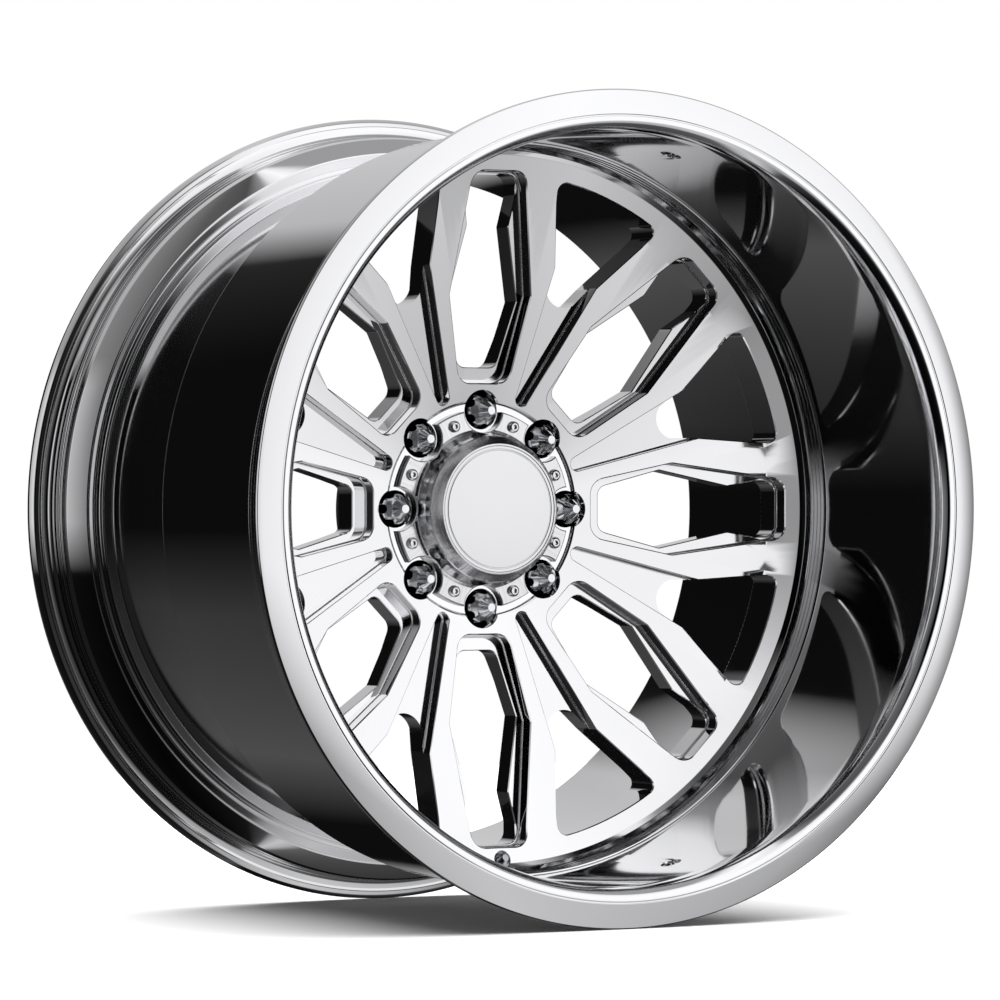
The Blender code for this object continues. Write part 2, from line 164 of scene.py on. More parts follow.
# Tones of the studio by compass direction, in degrees from the dish side (-Y) towards +X
LOW_TONES = (
    (-180, 0.30), (-150, 0.16), (-110, 0.12), (-60, 0.05), (-25, 0.10), (-4, 0.25), (1, 0.30),
    (9, 0.60), (25, 0.76), (42, 0.66), (54, 0.36), (75, 0.30), (110, 0.22), (140, 0.08), (165, 0.08),
)
LEVEL_TONES = (
    (-180, 0.16), (-165, 0.08), (-112, 0.06), (-95, 0.62), (-80, 0.88), (-64, 0.5), (-50, 0.04),
    (-25, 0.02), (-8, 0.16), (-3, 0.40), (1, 0.48), (7, 0.92), (30, 1.0), (50, 0.95), (57, 0.45),
    (75, 0.33), (120, 0.55), (150, 0.76), (172, 0.70),
)
HIGH_TONES = (
    (-180, 0.76), (-150, 0.72), (-90, 0.60), (-50, 0.35), (-25, 0.30), (-5, 0.55), (6, 0.90),
    (30, 1.0), (50, 0.90), (65, 0.60), (110, 0.60), (150, 0.78),
)
# Rise, in degrees, over which the low tones pass into the level ones, and those into the high ones
LEVELS = ((-14.0, -3.0), (27.0, 34.0))

# Sockets of a colour Mix node, whose names repeat between its data types
MIX_A = 6
MIX_B = 7
MIX_RESULT = 2


# ---------------------------------------------------------------------------------------------
# Outlines and profiles


def rounded(corners, closed=True, turn_step=9.0):
    """Points of a polyline whose corners, (x, y, radius), are rounded by arcs."""
    points = []
    count = len(corners)
    for i, (x, y, radius) in enumerate(corners):
        open_end = not closed and i in (0, count - 1)
        if radius <= 0 or open_end:
            points.append((x, y))
            continue
        here = Vector((x, y))
        before = Vector(corners[i - 1][:2]) - here
        after = Vector(corners[(i + 1) % count][:2]) - here
        room = min(before.length, after.length) * 0.49
        before.normalize()
        after.normalize()
        corner_angle = before.angle(after)
        if corner_angle > math.radians(179):
            points.append((x, y))
            continue
        reach = min(radius / math.tan(corner_angle / 2), room)
        radius = reach * math.tan(corner_angle / 2)
        centre = here + (before + after).normalized() * (radius / math.sin(corner_angle / 2))
        first = here + before * reach - centre
        sweep = (here + after * reach - centre).angle_signed(first)
        steps = max(2, math.ceil(abs(math.degrees(sweep)) / turn_step))
        for step in range(steps + 1):
            spoke = first.copy()
            spoke.rotate(Matrix.Rotation(sweep * step / steps, 2))
            points.append(tuple(centre + spoke))
    return points


def mirrored(half):
    """Closes a half outline, given on the +y side, across y = 0, in steps of at most LONGEST_STEP."""
    other = [(x, -y, radius) for x, y, radius in reversed(half)]
    corners = rounded(list(half) + other)
    points = []
    for here, following in zip(corners, corners[1:] + corners[:1]):
        crosses = here[1] * following[1] < 0
        steps = 1 if crosses else math.ceil(math.dist(here, following) / LONGEST_STEP)
        for step in range(steps):
            part = step / steps
            points.append(tuple(a + (b - a) * part for a, b in zip(here, following)))
    return points


def grown(outline, amount):
    """The outline moved outwards by amount, corner angles kept."""
    count = len(outline)
    area = sum(
        outline[i - 1][0] * outline[i][1] - outline[i][0] * outline[i - 1][1] for i in range(count)
    )
    side = 1.0 if area > 0 else -1.0
    moved = []
    for i in range(count):
        here = Vector(outline[i])
        along_in = (here - Vector(outline[i - 1])).normalized()
        along_out = (Vector(outline[(i + 1) % count]) - here).normalized()
        normal_in = Vector((along_in.y, -along_in.x)) * side
        normal_out = Vector((along_out.y, -along_out.x)) * side
        middle = (normal_in + normal_out).normalized()
        moved.append(tuple(here + middle * (amount / max(0.3, middle.dot(normal_in)))))
    return moved


def height_on(profile):
    """A function of radius that follows the (r, z) points of profile."""
    def height(radius):
        for (r0, z0), (r1, z1) in zip(profile, profile[1:]):
            if radius <= r1:
                return z0 + (z1 - z0) * (radius - r0) / (r1 - r0)
        (r0, z0), (r1, z1) = profile[-2:]
        return z1 + (z1 - z0) * (radius - r1) / (r1 - r0)
    return height


RING_Z = FACE_Z + SPOKE_SLOPE * (RING_R - HUB_R)
FACE_LINE = (
    (0.0, RING_Z - SPOKE_SLOPE * RING_R),
    (RING_R, RING_Z),
    (RING_OUTER_R, RING_Z + RING_SLOPE * (RING_OUTER_R - RING_R)),
)
BACK_LINE = ((108.0, -75.0), (122.0, -66.0), (150.0, -57.0), (281.0, -37.0), (320.0, -37.0))
front_face = height_on(FACE_LINE)
back_face = height_on(BACK_LINE)


# ---------------------------------------------------------------------------------------------
# Mesh tools


def mesh_from(name, bm, sharp=SHARP_DEGREES):
    """A smooth-shaded mesh of what bm holds, with edges sharper than that many degrees kept hard."""
    bmesh.ops.remove_doubles(bm, verts=bm.verts, dist=0.0005)
    bmesh.ops.recalc_face_normals(bm, faces=bm.faces)
    mesh = bpy.data.meshes.new(name)
    bm.to_mesh(mesh)
    bm.free()
    mesh.shade_smooth()
    mesh.set_sharp_from_angle(angle=math.radians(sharp))
    return mesh


def lathe(bm, profile, steps=SEGMENTS, matrix=None, closed=True):
    """Turns (r, z) points round the z axis. Points on the axis close into one."""
    rings = []
    for index in range(steps):
        angle = 2 * math.pi * index / steps
        x, y = math.cos(angle), math.sin(angle)
        rings.append([bm.verts.new((r * x, r * y, z)) for r, z in profile])
    spans = len(profile) if closed else len(profile) - 1
    for ring, following in zip(rings, rings[1:] + rings[:1]):
        for i in range(spans):
            j = (i + 1) % len(profile)
            if profile[i][0] > 0 or profile[j][0] > 0:
                bm.faces.new((ring[i], following[i], following[j], ring[j]))
    verts = [vert for ring in rings for vert in ring]
    if matrix is not None:
        bmesh.ops.transform(bm, matrix=matrix, verts=verts)


def turned_mesh(name, profile, steps=SEGMENTS, closed=True):
    """A mesh turned from (r, z) points."""
    bm = bmesh.new()
    lathe(bm, profile, steps, closed=closed)
    return mesh_from(name, bm)


def loft(bm, layers, matrix=None):
    """A closed solid through layers of (mirrored outline, height function), all with as many points."""
    rings = []
    for points, height in layers:
        rings.append([bm.verts.new((x, y, height(math.hypot(x, y)))) for x, y in points])
    count = len(rings[0])
    for low, high in zip(rings, rings[1:]):
        for i in range(count):
            j = (i + 1) % count
            bm.faces.new((low[i], low[j], high[j], high[i]))
    for i in range(count // 2 - 1):
        for ring in (rings[0], rings[-1]):
            bm.faces.new((ring[i], ring[i + 1], ring[count - i - 2], ring[count - i - 1]))
    if matrix is not None:
        bmesh.ops.transform(bm, matrix=matrix, verts=[vert for ring in rings for vert in ring])


def cylinder(bm, radius, bottom, top, matrix, sides=48, top_radius=None):
    """A closed cylinder along z, or a cone if top_radius is given."""
    middle = Matrix.Translation((0, 0, (bottom + top) / 2))
    bmesh.ops.create_cone(
        bm,
        cap_ends=True,
        segments=sides,
        radius1=radius,
        radius2=radius if top_radius is None else top_radius,
        depth=top - bottom,
        matrix=matrix @ middle,
    )


def turn(angle):
    """A turn about the wheel's axis."""
    return Matrix.Rotation(angle, 4, "Z")


def shift(x, y, z):
    """A move."""
    return Matrix.Translation((x, y, z))


def around(count, build, offset=0.0):
    """One mesh that holds what build(bm, matrix) makes at each of count equal steps."""
    bm = bmesh.new()
    for index in range(count):
        build(bm, turn(offset + index * 2 * math.pi / count))
    return bm


def carve(mesh, *cutters):
    """The mesh with each cutter (a bmesh) taken away, as a new mesh."""
    for bm in cutters:
        body = bpy.data.objects.new("carved", mesh)
        tool = bpy.data.objects.new("tool", mesh_from("tool", bm))
        bpy.context.scene.collection.objects.link(body)
        bpy.context.scene.collection.objects.link(tool)
        cut = body.modifiers.new("cut", "BOOLEAN")
        cut.operation = "DIFFERENCE"
        cut.solver = "EXACT"
        cut.object = tool
        graph = bpy.context.evaluated_depsgraph_get()
        mesh = bpy.data.meshes.new_from_object(body.evaluated_get(graph))
        bpy.data.objects.remove(body)
        bpy.data.objects.remove(tool)
    mesh.shade_smooth()
    mesh.set_sharp_from_angle(angle=math.radians(SHARP_DEGREES))
    return mesh


def piece(name, mesh, material, nodes, matrix=None, body=WHEEL_BODY, weighted=False):
    """Puts a mesh from the wheel frame into the row, on a body, in place of its CAD nodes."""
    obj = bpy.data.objects.new(name, mesh)
    bpy.context.scene.collection.objects.link(obj)
    mesh.transform(WHEEL @ matrix if matrix is not None else WHEEL)
    mesh.materials.clear()
    mesh.materials.append(material)
    if weighted:
        smooth = obj.modifiers.new("even shading", "WEIGHTED_NORMAL")
        smooth.keep_sharp = True
        smooth.weight = 60
    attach(obj, body)
    if nodes:
        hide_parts(*nodes)
    return obj


# ---------------------------------------------------------------------------------------------
# Materials


def shader_material(name, colour, roughness, metallic=1.0):
    """A new material with its node tree and its Principled shader."""
    material = bpy.data.materials.new(name)
    material.use_nodes = True
    shader = material.node_tree.nodes["Principled BSDF"]
    shader.inputs["Base Color"].default_value = (*colour, 1.0)
    shader.inputs["Roughness"].default_value = roughness
    shader.inputs["Metallic"].default_value = metallic
    material.diffuse_color = (*colour, 1.0)
    return material, material.node_tree, shader


def add_node(tree, kind, **values):
    """A node whose values are set on its sockets, or else on the node itself."""
    node = tree.nodes.new(kind)
    for key, value in values.items():
        if key in node.inputs:
            node.inputs[key].default_value = value
        else:
            setattr(node, key, value)
    return node


def noise(tree, coordinates, scale, detail=3.0, stretch=None):
    """A noise texture over object coordinates in metres, stretched along an axis if asked."""
    source = coordinates.outputs["Object"]
    if stretch is not None:
        mapping = add_node(tree, "ShaderNodeMapping")
        mapping.inputs["Scale"].default_value = stretch
        tree.links.new(source, mapping.inputs["Vector"])
        source = mapping.outputs["Vector"]
    texture = add_node(tree, "ShaderNodeTexNoise", Scale=scale, Detail=detail)
    tree.links.new(source, texture.inputs["Vector"])
    return texture.outputs["Fac"]


def ramp(tree, factor, low, high, low_value, high_value):
    """The factor's range low to high mapped to low_value to high_value."""
    node = add_node(tree, "ShaderNodeMapRange")
    node.inputs["From Min"].default_value = low
    node.inputs["From Max"].default_value = high
    node.inputs["To Min"].default_value = low_value
    node.inputs["To Max"].default_value = high_value
    tree.links.new(factor, node.inputs["Value"])
    return node.outputs["Result"]


def bump(tree, shader, height, strength, distance, previous=None):
    """Relief of that distance in metres, over the relief before it if there is one."""
    node = add_node(tree, "ShaderNodeBump", Strength=strength, Distance=distance)
    tree.links.new(height, node.inputs["Height"])
    if previous is not None:
        tree.links.new(previous, node.inputs["Normal"])
    tree.links.new(node.outputs["Normal"], shader.inputs["Normal"])
    return node.outputs["Normal"]


def ring_lines(tree, coordinates, per_metre):
    """Fine lines that run round the wheel's axis, from the distance to that axis and along it."""
    split = add_node(tree, "ShaderNodeSeparateXYZ")
    tree.links.new(coordinates.outputs["Object"], split.inputs["Vector"])
    square_x = add_node(tree, "ShaderNodeMath", operation="MULTIPLY")
    tree.links.new(split.outputs["X"], square_x.inputs[0])
    tree.links.new(split.outputs["X"], square_x.inputs[1])
    square_z = add_node(tree, "ShaderNodeMath", operation="MULTIPLY_ADD")
    tree.links.new(split.outputs["Z"], square_z.inputs[0])
    tree.links.new(split.outputs["Z"], square_z.inputs[1])
    tree.links.new(square_x.outputs[0], square_z.inputs[2])
    radius = add_node(tree, "ShaderNodeMath", operation="SQRT")
    tree.links.new(square_z.outputs[0], radius.inputs[0])
    joined = add_node(tree, "ShaderNodeCombineXYZ")
    tree.links.new(radius.outputs[0], joined.inputs["X"])
    tree.links.new(split.outputs["Y"], joined.inputs["Y"])
    texture = add_node(tree, "ShaderNodeTexNoise", Scale=per_metre, Detail=4.0)
    tree.links.new(joined.outputs["Vector"], texture.inputs["Vector"])
    return texture.outputs["Fac"]


def spoke_streaks(tree, coordinates, per_turn):
    """Streaks that stand like spokes round the wheel's axis, the same at every radius."""
    split = add_node(tree, "ShaderNodeSeparateXYZ")
    tree.links.new(coordinates.outputs["Object"], split.inputs["Vector"])
    flat = add_node(tree, "ShaderNodeCombineXYZ")
    tree.links.new(split.outputs["X"], flat.inputs["X"])
    tree.links.new(split.outputs["Z"], flat.inputs["Z"])
    unit = add_node(tree, "ShaderNodeVectorMath", operation="NORMALIZE")
    tree.links.new(flat.outputs["Vector"], unit.inputs[0])
    texture = add_node(tree, "ShaderNodeTexNoise", Scale=per_turn, Detail=5.0)
    tree.links.new(unit.outputs["Vector"], texture.inputs["Vector"])
    return texture.outputs["Fac"]


def polished_metal(name, colour, roughness, haze, lines=2600.0, line_strength=0.010):
    """Mirror-polished aluminium: faint haze, fine polishing lines and a trace of unevenness."""
    material, tree, shader = shader_material(name, colour, roughness)
    coordinates = add_node(tree, "ShaderNodeTexCoord")
    cloud = noise(tree, coordinates, 9.0, 5.0)
    tree.links.new(ramp(tree, cloud, 0.35, 0.72, roughness, haze), shader.inputs["Roughness"])
    tone = add_node(tree, "ShaderNodeMix", data_type="RGBA")
    tone.inputs[MIX_A].default_value = (*[c * 0.975 for c in colour], 1.0)
    tone.inputs[MIX_B].default_value = (*colour, 1.0)
    tree.links.new(noise(tree, coordinates, 4.0, 2.0), tone.inputs["Factor"])
    tree.links.new(tone.outputs[MIX_RESULT], shader.inputs["Base Color"])
    bump(tree, shader, ring_lines(tree, coordinates, lines), line_strength, 0.00005)
    return material


def brushed_metal(name, colour, roughness, stretch, scale=260.0, strength=0.10):
    """Machined metal with a directional grain."""
    material, tree, shader = shader_material(name, colour, roughness)
    coordinates = add_node(tree, "ShaderNodeTexCoord")
    grain = noise(tree, coordinates, scale, 4.0, stretch)
    spread = ramp(tree, grain, 0.3, 0.7, roughness * 0.75, min(1.0, roughness * 1.35))
    tree.links.new(spread, shader.inputs["Roughness"])
    tone = add_node(tree, "ShaderNodeMix", data_type="RGBA")
    tone.inputs[MIX_A].default_value = (*[c * 0.86 for c in colour], 1.0)
    tone.inputs[MIX_B].default_value = (*colour, 1.0)
    tree.links.new(grain, tone.inputs["Factor"])
    tree.links.new(tone.outputs[MIX_RESULT], shader.inputs["Base Color"])
    bump(tree, shader, grain, strength, 0.0001)
    return material


def radial_brushed_metal(name, colour, roughness):
    """Turned metal whose tool marks run round the axis and break its reflections into spokes; radial
    streaks also darken its colour as painted reflection streaks.
    """
    material, tree, shader = shader_material(name, colour, roughness)
    coordinates = add_node(tree, "ShaderNodeTexCoord")
    grain = ring_lines(tree, coordinates, 900.0)
    streak_relief_and_painted_reflection = spoke_streaks(tree, coordinates, 26.0)
    spread = ramp(tree, grain, 0.3, 0.7, roughness * 0.7, roughness * 1.3)
    tree.links.new(spread, shader.inputs["Roughness"])
    # Radial streaks darken the base colour down to 0.80 of it: painted reflection streaks of the turned
    # surface. The bumps below give the same streaks as real relief.
    tone = add_node(tree, "ShaderNodeMix", data_type="RGBA")
    tone.inputs[MIX_A].default_value = (*[c * 0.80 for c in colour], 1.0)
    tone.inputs[MIX_B].default_value = (*colour, 1.0)
    tree.links.new(streak_relief_and_painted_reflection, tone.inputs["Factor"])
    tree.links.new(tone.outputs[MIX_RESULT], shader.inputs["Base Color"])
    first = bump(tree, shader, grain, 0.10, 0.00006)
    bump(tree, shader, streak_relief_and_painted_reflection, 0.35, 0.0008, first)
    return material


def rubber(name):
    """Black seal rubber with a fine matt grain."""
    material, tree, shader = shader_material(name, BLACK_RUBBER, 0.6, 0.0)
    coordinates = add_node(tree, "ShaderNodeTexCoord")
    grain = noise(tree, coordinates, 1400.0, 3.0)
    tree.links.new(ramp(tree, grain, 0.3, 0.7, 0.5, 0.75), shader.inputs["Roughness"])
    bump(tree, shader, grain, 0.3, 0.0001)
    return material


def weld_material(name):
    """Weld metal as laid, brighter and duller in patches."""
    material, tree, shader = shader_material(name, WELD_METAL, 0.32)
    coordinates = add_node(tree, "ShaderNodeTexCoord")
    grain = noise(tree, coordinates, 420.0, 5.0)
    tree.links.new(ramp(tree, grain, 0.3, 0.7, 0.24, 0.5), shader.inputs["Roughness"])
    bump(tree, shader, grain, 0.25, 0.0004)
    return material


# ---------------------------------------------------------------------------------------------
# The barrel


def barrel_profile():
    """Closed section of the barrel, front lip first, then the tyre side, then the inside."""
    lip = [
        (326.6, HALF_WIDTH - 0.15, 0.4),
        (FLANGE_R - 0.9, EDGE_Z + 0.2, 1.0),
        (FLANGE_R, EDGE_Z - 1.2, 1.0),
        (FLANGE_R, EDGE_Z - 5.0, 3.0),
        (343.0, BEAD_FACE_Z, 4.0),
        (335.5, BEAD_FACE_Z - 0.4, 2.0),
        (331.2, 199.6, 5.0),
        (330.6, 195.0, 3.0),
    ]
    front_seat = [
        (329.0, 181.0, 3.0),
        (330.6, 176.5, 3.0),
        (330.6, 171.5, 3.0),
        (327.6, 165.0, 4.0),
        (LIP_WALL_OUTER_R, 150.0, 14.0),
        (LIP_WALL_OUTER_R, -5.0, 4.0),
        (316.5, -16.0, 6.0),
        (DROP_OUTER_R, -20.2, 6.0),
        (DROP_OUTER_R, -163.6, 3.4),
        (306.0, -165.2, 3.0),
        (314.4, -160.8, 2.4),
        (328.0, -175.3, 2.6),
    ]
    rear_seat = [
        (329.6, -179.0, 1.0),
        (328.9, -180.4, 0.4),
        (328.9, -183.0, 0.4),
        (330.0, -184.0, 0.6),
        (330.0, -186.2, 0.6),
        (329.0, -187.2, 0.4),
        (329.4, -190.0, 0.4),
        (330.6, -191.0, 0.6),
        (331.0, -197.0, 3.0),
        (333.0, -202.2, 4.0),
        (338.0, -203.6, 3.0),
        (340.4, -203.6, 0.5),
        (341.0, -204.2, 0.5),
        (344.5, -205.4, 3.0),
        (FLANGE_R, -209.8, 2.0),
        (FLANGE_R, -212.6, 1.0),
        (346.6, -EDGE_Z - 0.4, 0.8),
    ]
    rear_lip = [
        (333.0, -HALF_WIDTH, 4.0),
        (326.0, -212.4, 7.0),
        (323.0, -198.0, 6.0),
        (320.8, -183.0, 5.0),
        (309.0, -170.6, 7.0),
        (299.0, -171.0, 6.0),
        (DROP_INNER_R, -164.0, 5.0),
        (DROP_INNER_R, SHOULDER_Z - GAP, 0.0),
    ]
    dish = [
        (LIP_WALL_R, SHOULDER_Z - GAP, 0.0),
        (LIP_WALL_R, 189.5, 0.5),
        (313.1, 190.6, 0.5),
        (313.1, 204.0, 4.0),
        (314.6, 211.4, 4.0),
        (319.4, HALF_WIDTH - 0.1, 4.6),
        (324.6, HALF_WIDTH, 0.8),
        (325.2, HALF_WIDTH - 0.7, 0.3),
        (326.0, HALF_WIDTH - 0.7, 0.3),
    ]
    return rounded(lip + front_seat + rear_seat + rear_lip + dish)


def make_barrel(material):
    """The barrel, with a round blind dimple in the lip wall at each of DIMPLE_ANGLES."""
    mesh = turned_mesh("barrel", barrel_profile())
    section = [
        (0, LIP_WALL_R - 6),
        (DIMPLE_R + 7, LIP_WALL_R - 6),
        (DIMPLE_R, LIP_WALL_R + 1),
        (DIMPLE_R, LIP_WALL_R + 3.6),
        (DIMPLE_R - 0.9, LIP_WALL_R + 4.5),
        (0, LIP_WALL_R + 4.5),
    ]
    outwards = shift(0, 0, DIMPLE_Z) @ Matrix.Rotation(math.pi / 2, 4, "Y")
    dimples = bmesh.new()
    for degrees in DIMPLE_ANGLES:
        lathe(dimples, section, 64, turn(math.radians(degrees)) @ outwards)
    mesh = carve(mesh, dimples)
    return piece("barrel", mesh, material, ["rim_barrel"])


# ---------------------------------------------------------------------------------------------
# The forged centre


def centre_profile():
    """Closed section of the centre before its spokes are cut, from the hub seat outwards."""
    outer = LIP_WALL_R - GAP
    stripes = []
    stripe_height = (SKIRT_Z[1] - SKIRT_Z[0]) / SKIRT_STRIPES
    for index in range(SKIRT_STRIPES):
        r = SKIRT_R + STRIPE_STEP * index
        z = SKIRT_Z[0] + stripe_height * index
        stripes += [(r, z + 0.5, 0.15), (r + 0.05, z + stripe_height, 0.15)]
    corners = [
        (HUB_SEAT_R - 4.0, HUB_SEAT_Z, 0.0),
        (HUB_SEAT_R, HUB_SEAT_Z, 0.6),
        (HUB_SEAT_R + 1.0, -31.4, 0.6),
        (94.6, -30.6, 1.0),
        (HUB_R, front_face(HUB_R), 20.0),
        (200.0, front_face(200.0), 0.0),
        (RING_R, front_face(RING_R), 0.0),
        (RING_OUTER_R, front_face(RING_OUTER_R), 2.0),
        (308.4, 8.8, 2.5),
        *stripes,
        (outer - 0.6, SKIRT_Z[1] + 0.3, 0.2),
        (outer, SKIRT_Z[1], 0.0),
        (outer, SHOULDER_Z, 0.0),
        (DROP_INNER_R - GAP, SHOULDER_Z, 0.0),
        (DROP_INNER_R - GAP, -37.0, 0.5),
        (281.0, -37.0, 3.0),
        (150.0, -57.0, 40.0),
        (122.0, -66.0, 10.0),
        (108.0, -92.0, 8.0),
        (106.0, PAD_Z, 1.2),
        (BORE_R + 1.5, PAD_Z, 0.0),
        (BORE_R, PAD_Z + 1.5, 0.0),
        (BORE_R, -37.0, 0.0),
        (66.2, HUB_SEAT_Z, 0.0),
    ]
    return rounded(corners)


def window_pocket():
    """Outline of the sunk panel between the two spokes of a pair."""
    return mirrored([(108.5, 24.2, 14), (184.2, 40.2, 2), (291.0, 25.9, 13)])


def window_hole():
    """Outline of the opening through that panel."""
    return mirrored([
        (122.7, 18.8, 9),
        (179.9, 34.2, 2),
        (244.7, 20.2, 6),
        (271.0, 25.0, 3),
        (289.6, 23.4, 11),
    ])


def channel_outline():
    """Outline of the channel between two pairs, from its round tip at the hub to the fork opening."""
    tip_x = 103.2
    tip_r = 6.3
    angles = [math.radians(4.5 + 9 * step) for step in range(10)]
    tip = [(tip_x - tip_r * math.cos(a), tip_r * math.sin(a), 0) for a in angles]
    return mirrored(tip + [(217.0, 22.4, 0), (222.0, 23.6, 0)])


def fork_outline():
    """Opening between two spoke pairs: straight sides, a round outer edge, a hollow inner end."""
    outer_r = 290.2
    hollow_x = 209.5
    hollow_r = 18.5
    hollow_angles = [math.radians(step) for step in range(4, 60, 8)]
    hollow = [(hollow_x - hollow_r * math.cos(a), hollow_r * math.sin(a), 0) for a in hollow_angles]
    side = [(216.5, 22.0, 6), (267.0, 46.8, 6), (285.0, 54.2, 10.5)]
    outer_angles = [math.radians(step) for step in range(7, 0, -1)]
    outer = [(outer_r * math.cos(a), outer_r * math.sin(a), 0) for a in outer_angles]
    return mirrored(hollow + side + outer)


def below_face(depth):
    """The height, by radius, of a surface at that depth under the front face."""
    return lambda radius: front_face(radius) - depth


def way_out(outline, chamfer):
    """Layers of a cutter that leave through the back, with the back edge broken."""
    wide = grown(outline, chamfer)
    return [
        (outline, lambda r: back_face(r) + chamfer),
        (wide, back_face),
        (wide, lambda r: back_face(r) - CLEARANCE),
    ]


def way_in(outline, chamfer):
    """Layers of a cutter that enter through the front face, with its edge broken."""
    wide = grown(outline, chamfer)
    return [(wide, below_face(-CLEARANCE)), (wide, below_face(0.0)), (outline, below_face(chamfer))]


def filleted_floor(outline, depth, radius):
    """Layers that turn a vertical wall into a floor at that depth."""
    layers = []
    for degrees in (0, 22.5, 45, 67.5, 90):
        angle = math.radians(degrees)
        inset = radius * (1 - math.cos(angle))
        level = depth - radius * (1 - math.sin(angle))
        layers.append((grown(outline, -inset), below_face(level)))
    return layers


def on_rays(outlines, middle):
    """The outlines redrawn with points on the same rays from (middle, 0), so that they pair up."""
    def angle_of(point):
        return math.atan2(point[1], point[0] - middle)
    angles = sorted(angle_of(point) for outline in outlines for point in outline if point[1] > 0)
    kept = [angles[0]]
    for angle in angles[1:]:
        if angle - kept[-1] > SAME_ANGLE:
            kept.append(angle)
    redrawn = []
    for outline in outlines:
        upper = sorted(
            (angle_of((x, y)), math.hypot(x - middle, y), (x, y)) for x, y in outline if y > 0
        )
        first = (0.0, 0.0, (upper[0][2][0], 0.0))
        last = (math.pi, 0.0, (upper[-1][2][0], 0.0))
        chain = [first] + upper + [last]
        half = []
        for angle in kept:
            ray = Vector((math.cos(angle), math.sin(angle)))
            for (a0, _, p0), (a1, _, p1) in zip(chain, chain[1:]):
                if a0 <= angle <= a1:
                    start = Vector(p0) - Vector((middle, 0.0))
                    step = Vector(p1) - Vector(p0)
                    across = step.cross(ray)
                    part = 0.0 if abs(across) < 1e-9 else ray.cross(start) / across
                    half.append(Vector(p0) + step * part)
                    break
        redrawn.append([(x, y) for x, y in half] + [(x, -y) for x, y in reversed(half)])
    return redrawn


def window_layers():
    """Cutter layers of a window: the sunk panel, its fillet, and the opening through its floor."""
    pocket, hole = on_rays((window_pocket(), window_hole()), WINDOW_MIDDLE_X)
    edge = 0.8
    return [
        *way_in(pocket, 0.9),
        *filleted_floor(pocket, POCKET_DEPTH, POCKET_FILLET),
        (grown(hole, edge), below_face(POCKET_DEPTH)),
        (hole, below_face(POCKET_DEPTH + edge)),
        *way_out(hole, BACK_CHAMFER),
    ]


def lug_section():
    """Half section of a lug pocket, its conical seat and the stud hole behind it."""
    return [
        (0, 20),
        (18.4, 20),
        (18.4, -29),
        (16.2, HUB_SEAT_Z),
        (LUG_POCKET_R, HUB_SEAT_Z - 0.8),
        (LUG_POCKET_R, -75.2),
        (14.4, -75.9),
        (8.3, -84.6),
        (LUG_HOLE_R, -85.0),
        (LUG_HOLE_R, PAD_Z + 0.8),
        (8.8, PAD_Z),
        (9.8, PAD_Z - 1),
        (0, PAD_Z - 1),
    ]


def valve_section():
    """Half section of the pocket and hole that the valve stands in, along its own axis."""
    return [
        (0, 30),
        (VALVE_POCKET_R + 0.5, 30),
        (VALVE_POCKET_R, 0),
        (VALVE_POCKET_R, VALVE_FRONT),
        (VALVE_HOLE_R, VALVE_FRONT),
        (VALVE_HOLE_R, -45),
        (0, -45),
    ]


def make_centre(material):
    """The forged centre: windows and forks right through, channels, lug, screw and valve holes."""
    window = window_layers()
    channel = way_in(channel_outline(), 0.6)
    channel += filleted_floor(channel_outline(), CHANNEL_DEPTH, CHANNEL_FILLET)
    fork = way_in(fork_outline(), 0.8) + way_out(fork_outline(), BACK_CHAMFER)

    def windows(bm, matrix):
        loft(bm, window, matrix)

    def channels(bm, matrix):
        loft(bm, channel, matrix)

    def forks(bm, matrix):
        loft(bm, fork, matrix)

    def lug_holes(bm, matrix):
        lathe(bm, lug_section(), 64, matrix @ shift(LUG_CIRCLE_R, 0, 0), closed=False)

    def screw_holes(bm, matrix):
        cylinder(bm, SCREW_HOLE_R, -52, 0, matrix @ shift(SCREW_CIRCLE_R, 0, 0), 24)

    valve_cut = bmesh.new()
    lathe(valve_cut, valve_section(), 48, valve_place(), closed=False)
    half = PITCH / 2
    mesh = carve(
        turned_mesh("centre", centre_profile()),
        around(SPOKE_PAIRS, windows),
        around(SPOKE_PAIRS, forks, half),
        around(SPOKE_PAIRS, channels, half),
        around(SPOKE_PAIRS, lug_holes),
        around(SPOKE_PAIRS, screw_holes, half),
        valve_cut,
    )
    return piece("centre", mesh, material, ["forged_centre"], weighted=True)


def make_weld(material):
    """The rear weld: overlapping puddles laid round the joint."""
    outer = DROP_INNER_R - GAP
    section = 7
    bm = bmesh.new()
    rings = []
    for index in range(WELD_PUDDLES * 2):
        angle = math.pi * index / WELD_PUDDLES
        swell = 1.0 if index % 2 else 0.84
        ring = []
        for i in range(section):
            lean = math.pi / 2 * i / (section - 1)
            r = outer - 3.0 * swell * math.cos(lean)
            z = WELD_TOP_Z - 5.0 * swell * math.sin(lean)
            ring.append(bm.verts.new((r * math.cos(angle), r * math.sin(angle), z)))
        ring.append(bm.verts.new((outer * math.cos(angle), outer * math.sin(angle), WELD_TOP_Z)))
        rings.append(ring)
    for ring, following in zip(rings, rings[1:] + rings[:1]):
        for i in range(len(ring)):
            j = (i + 1) % len(ring)
            bm.faces.new((ring[i], following[i], following[j], ring[j]))
    return piece("weld", mesh_from("weld", bm, 50), material, ["rear_weld_bead"])


# ---------------------------------------------------------------------------------------------
# Centre cap, screws and nuts


